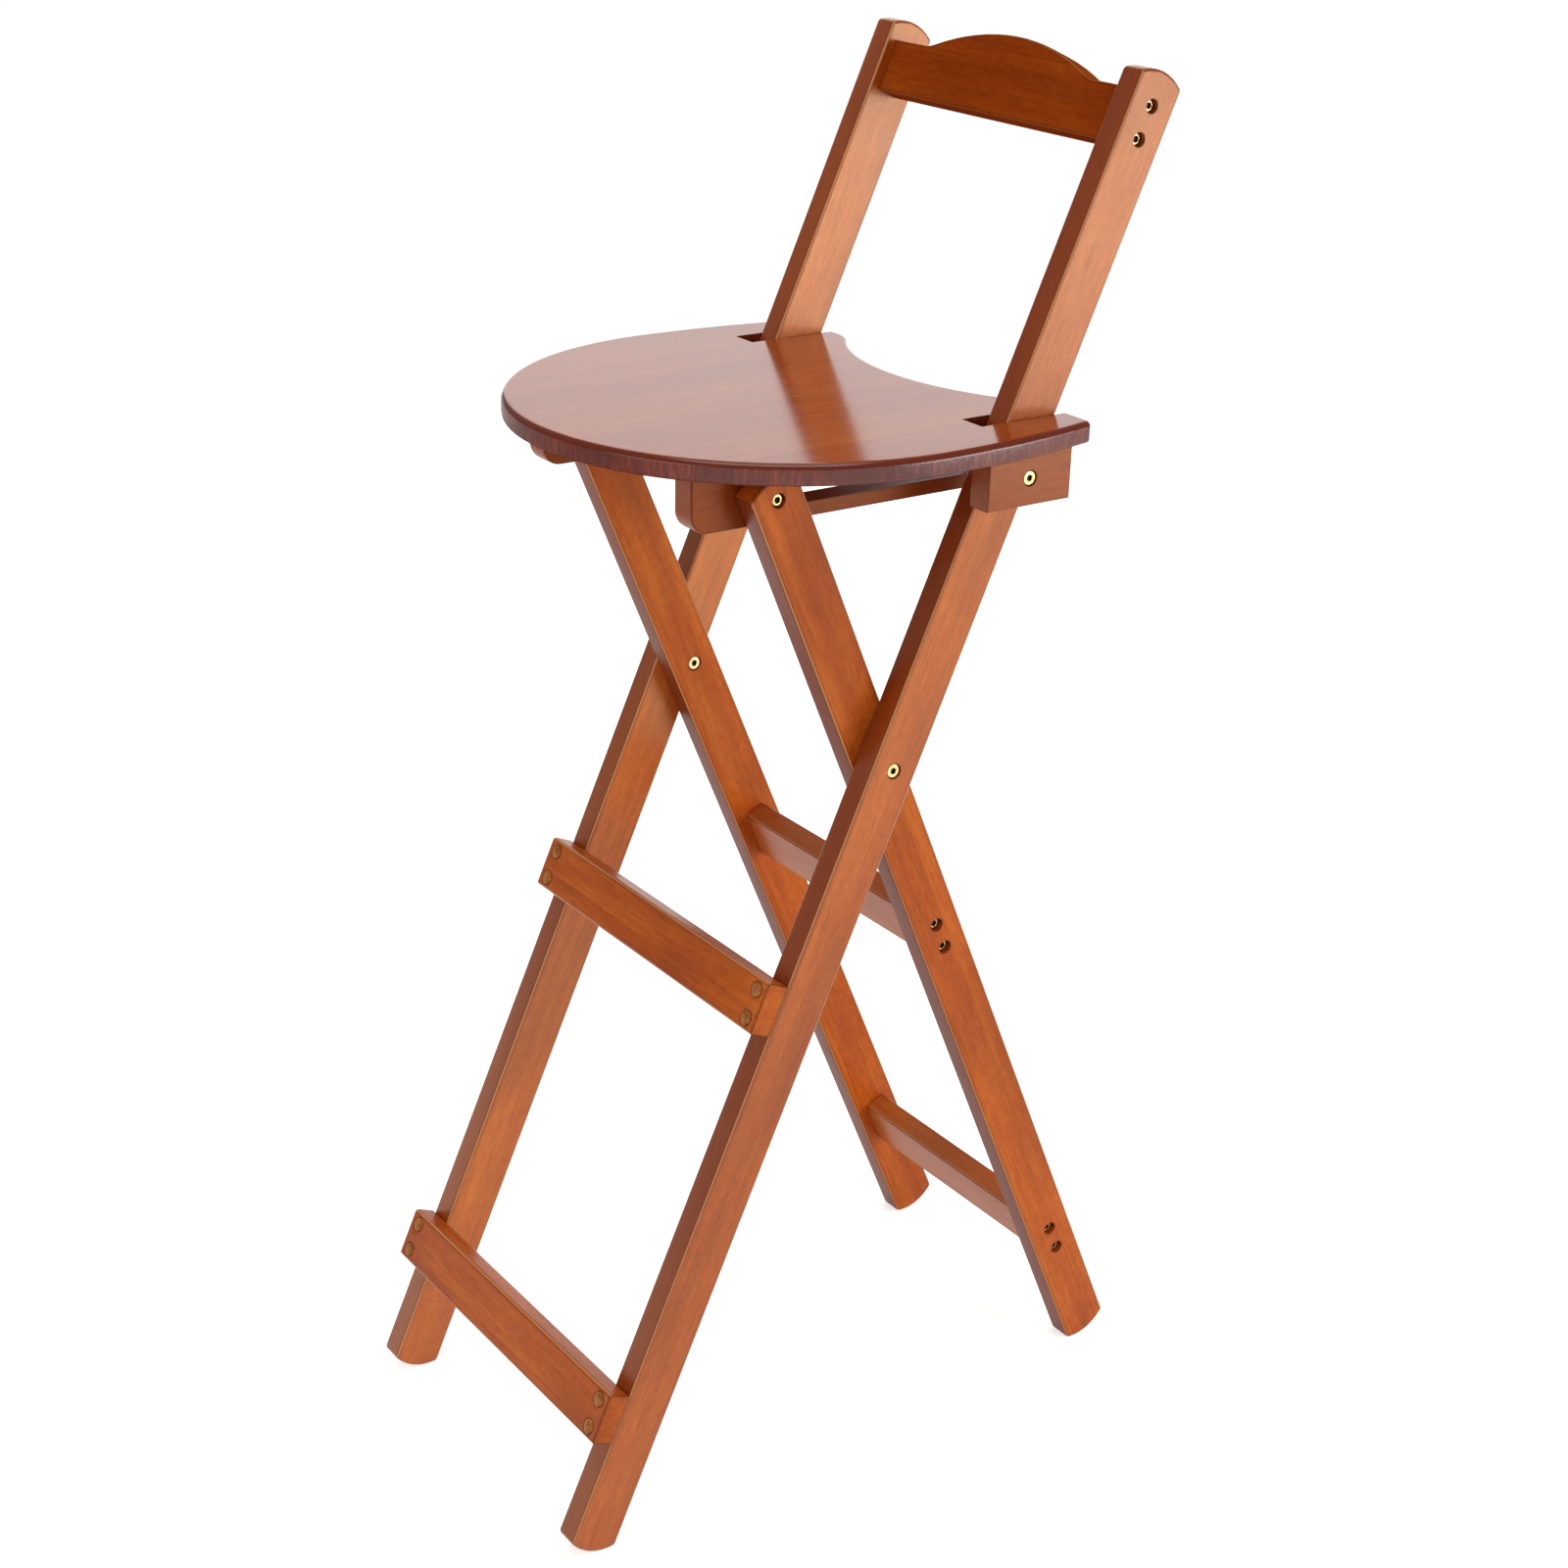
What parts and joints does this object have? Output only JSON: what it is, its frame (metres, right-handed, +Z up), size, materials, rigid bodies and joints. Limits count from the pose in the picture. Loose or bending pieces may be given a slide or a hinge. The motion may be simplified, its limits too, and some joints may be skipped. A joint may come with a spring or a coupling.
{
  "type": "folding bar stool",
  "caption": "Folding wooden bar stool with crossed frames, a half-oval seat board, an arched backrest rail and front footrests.",
  "frame": {"origin": "floor level, under the crossing pivots and in the middle of the width, which is the centre of the bounding box's bottom face", "axes": "+X to the sitter's left, -Y to the front with the footrests, +Z up"},
  "size_m": [0.356, 0.4912, 0.9703],
  "materials": {
    "frame_wood": "reddish-brown stain under satin clear lacquer",
    "seat_wood": "reddish-brown stain under glossy clear lacquer",
    "plug_wood": "stained end grain, satin",
    "pale_brass": "pale yellow plating, satin",
    "washer_plastic": "off-white, matte"
  },
  "bodies": {
    "stile_frame": {"stile_left": "frame_wood", "stile_right": "frame_wood", "crest_rail": "frame_wood", "footrest_upper": "frame_wood", "plug_upper_top_left": "plug_wood", "plug_upper_top_right": "plug_wood", "plug_upper_bottom_left": "plug_wood", "plug_upper_bottom_right": "plug_wood", "footrest_lower": "frame_wood", "plug_lower_top_left": "plug_wood", "plug_lower_top_right": "plug_wood", "plug_lower_bottom_left": "plug_wood", "plug_lower_bottom_right": "plug_wood", "crest_screw_1_left": "pale_brass", "crest_screw_1_right": "pale_brass", "crest_screw_2_left": "pale_brass", "crest_screw_2_right": "pale_brass", "cross_bolt_left": "pale_brass", "cross_bolt_right": "pale_brass", "cross_nut_left": "pale_brass", "cross_nut_right": "pale_brass", "cross_washer_left": "washer_plastic", "cross_washer_right": "washer_plastic", "seat_bolt_left": "pale_brass", "seat_bolt_right": "pale_brass", "seat_nut_left": "pale_brass", "seat_nut_right": "pale_brass", "seat_washer_left": "washer_plastic", "seat_washer_right": "washer_plastic"},
    "leg_frame": {"leg_left": "frame_wood", "leg_right": "frame_wood", "stretcher_upper": "frame_wood", "stretcher_lower": "frame_wood", "slot_dowel": "frame_wood", "dowel_screw_left": "pale_brass", "dowel_screw_right": "pale_brass", "stretcher_screw_1_left": "pale_brass", "stretcher_screw_1_right": "pale_brass", "stretcher_screw_2_left": "pale_brass", "stretcher_screw_2_right": "pale_brass", "stretcher_screw_3_left": "pale_brass", "stretcher_screw_3_right": "pale_brass", "stretcher_screw_4_left": "pale_brass", "stretcher_screw_4_right": "pale_brass"},
    "seat": {"seat_board": "seat_wood", "slotted_cleat_left": "seat_wood", "slotted_cleat_right": "seat_wood", "pivot_block_left": "seat_wood", "pivot_block_right": "seat_wood"}
  },
  "joints": [
    {"name": "leg_fold", "type": "hinge", "parent": "stile_frame", "child": "leg_frame", "pos_m": [0, 0, 0.52982], "axis": [-1, 0, 0], "range_deg": [0, 47]},
    {"name": "seat_tilt", "type": "hinge", "parent": "stile_frame", "child": "seat", "pos_m": [0, 0.08381, 0.72074], "axis": [-1, 0, 0], "range_deg": [0, 23.7]}
  ],
  "couplings": [
    {"joint": "seat_tilt", "follows": "leg_fold", "ratio": 0.5}
  ]
}
